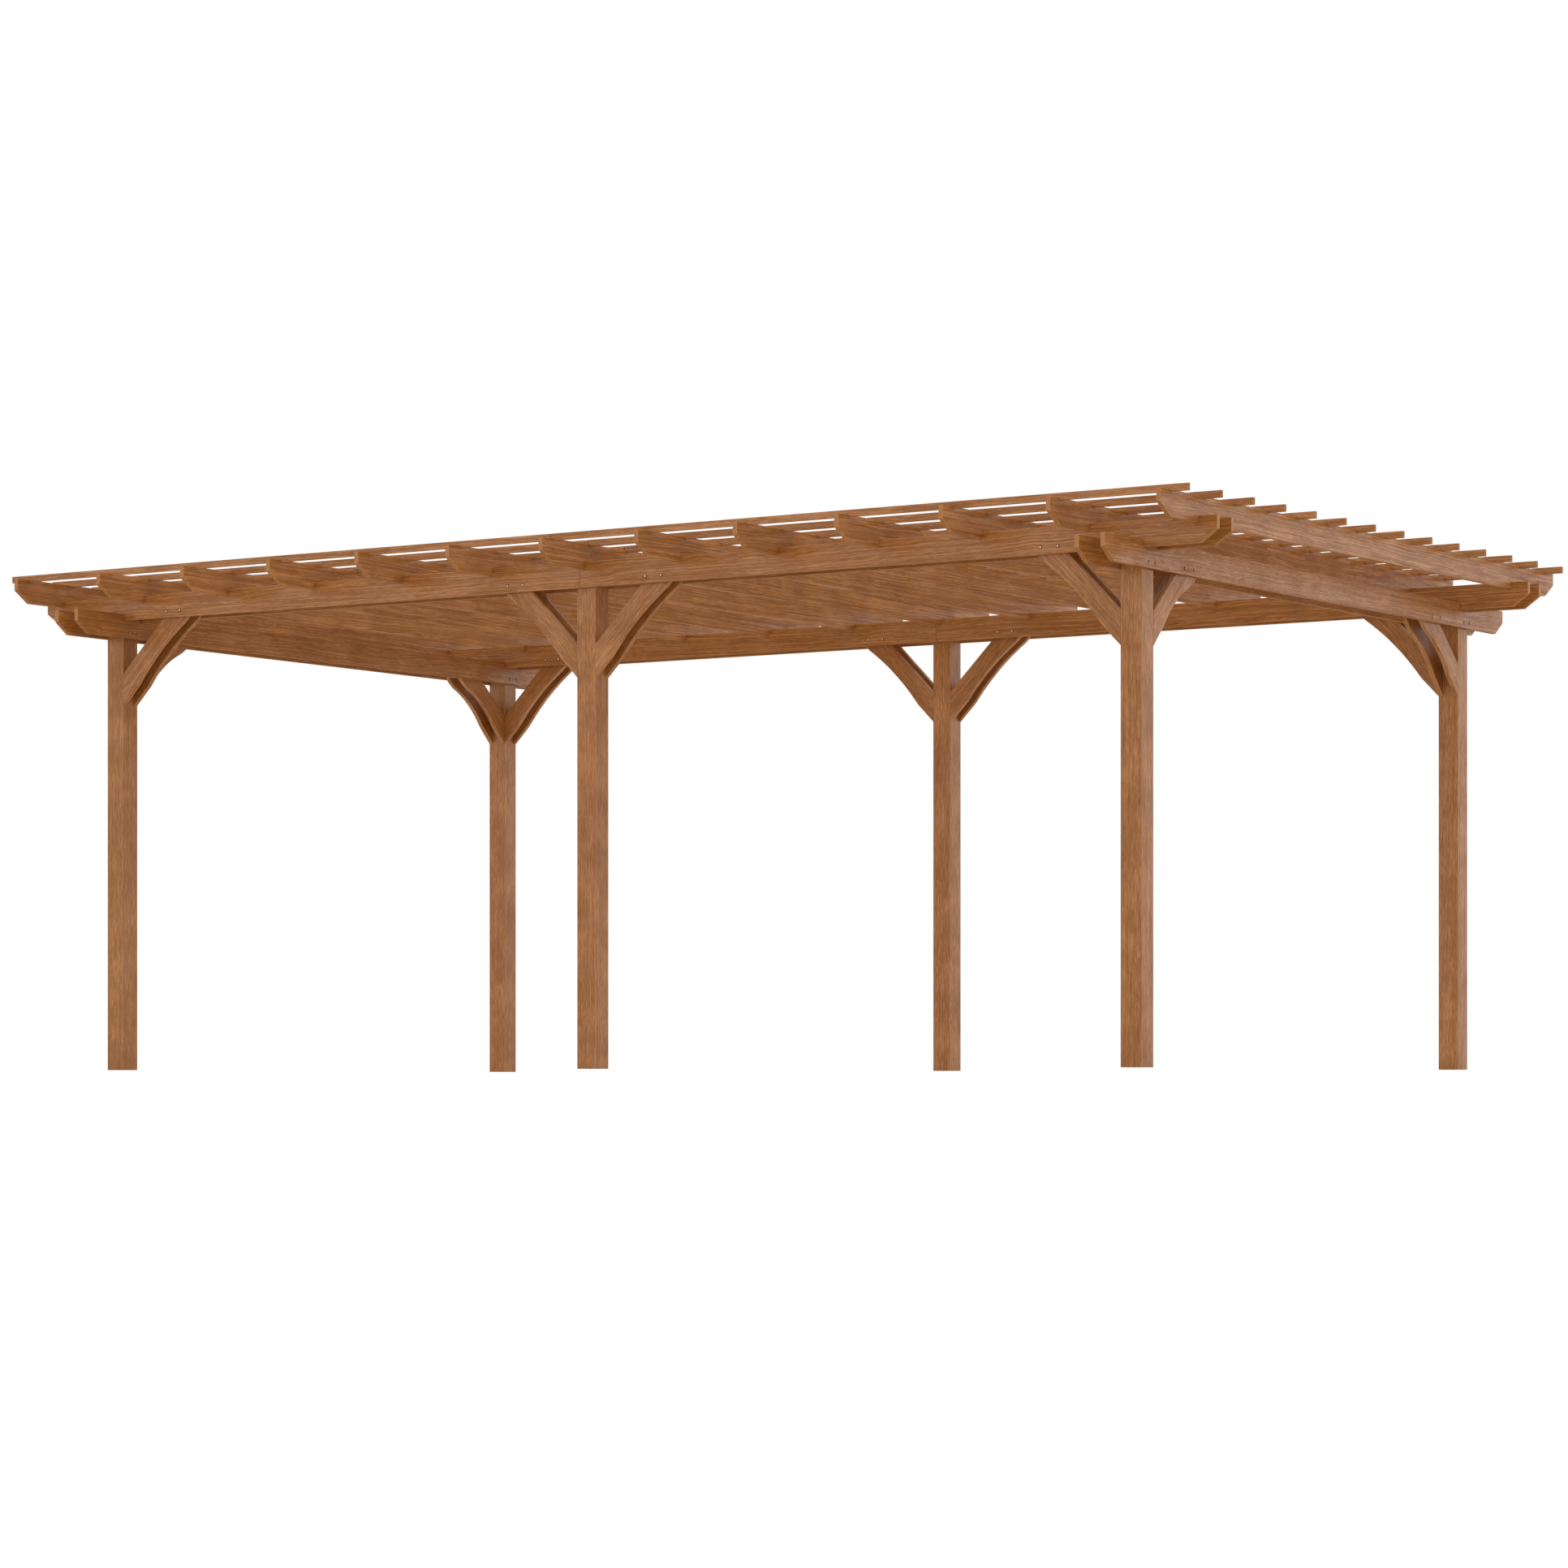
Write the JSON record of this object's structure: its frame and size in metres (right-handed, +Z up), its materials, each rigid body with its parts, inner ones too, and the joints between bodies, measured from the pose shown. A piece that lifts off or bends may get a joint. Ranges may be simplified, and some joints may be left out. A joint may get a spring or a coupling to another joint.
{
  "type": "wooden pergola",
  "caption": "Open timber pergola: square posts carry paired girders and beams on S-curved knee braces, under notched rafters and slats, to shade a sitting place.",
  "frame": {"origin": "on the ground in the middle of the plan", "axes": "+X along the length to the right, +Y from front to rear, +Z up"},
  "size_m": [6.096, 3.625, 2.249],
  "materials": {
    "post_wood": "stained softwood, grain upright, satin",
    "girder_wood": "stained softwood, grain front to rear, satin",
    "beam_wood": "stained softwood, grain along the length, satin",
    "rafter_wood": "stained softwood, grain front to rear, satin",
    "slat_wood": "stained softwood, grain along the length, satin",
    "brace_wood": "stained softwood, grain along the brace, satin"
  },
  "bodies": {
    "root": {"post_front_left": "post_wood", "post_front_middle": "post_wood", "post_front_right": "post_wood", "post_rear_left": "post_wood", "post_rear_middle": "post_wood", "post_rear_right": "post_wood", "girder_left_outer": "girder_wood", "girder_left_inner": "girder_wood", "girder_right_outer": "girder_wood", "girder_right_inner": "girder_wood", "beam_front_outer_left": "beam_wood", "beam_front_outer_right": "beam_wood", "beam_front_inner_left": "beam_wood", "beam_front_inner_right": "beam_wood", "beam_rear_outer_left": "beam_wood", "beam_rear_outer_right": "beam_wood", "beam_rear_inner_left": "beam_wood", "beam_rear_inner_right": "beam_wood", "rafter_01": "rafter_wood", "rafter_02": "rafter_wood", "rafter_03": "rafter_wood", "rafter_04": "rafter_wood", "rafter_05": "rafter_wood", "rafter_06": "rafter_wood", "rafter_07": "rafter_wood", "rafter_08": "rafter_wood", "rafter_09": "rafter_wood", "rafter_10": "rafter_wood", "rafter_11": "rafter_wood", "rafter_12": "rafter_wood", "rafter_13": "rafter_wood", "slats_left": "slat_wood", "slats_right": "slat_wood", "brace_front_left": "brace_wood", "brace_front_middle_left": "brace_wood", "brace_front_middle_right": "brace_wood", "brace_front_right": "brace_wood", "brace_rear_left": "brace_wood", "brace_rear_middle_left": "brace_wood", "brace_rear_middle_right": "brace_wood", "brace_rear_right": "brace_wood", "end_brace_front_left": "brace_wood", "end_brace_front_right": "brace_wood", "end_brace_rear_left": "brace_wood", "end_brace_rear_right": "brace_wood"}
  },
  "joints": []
}
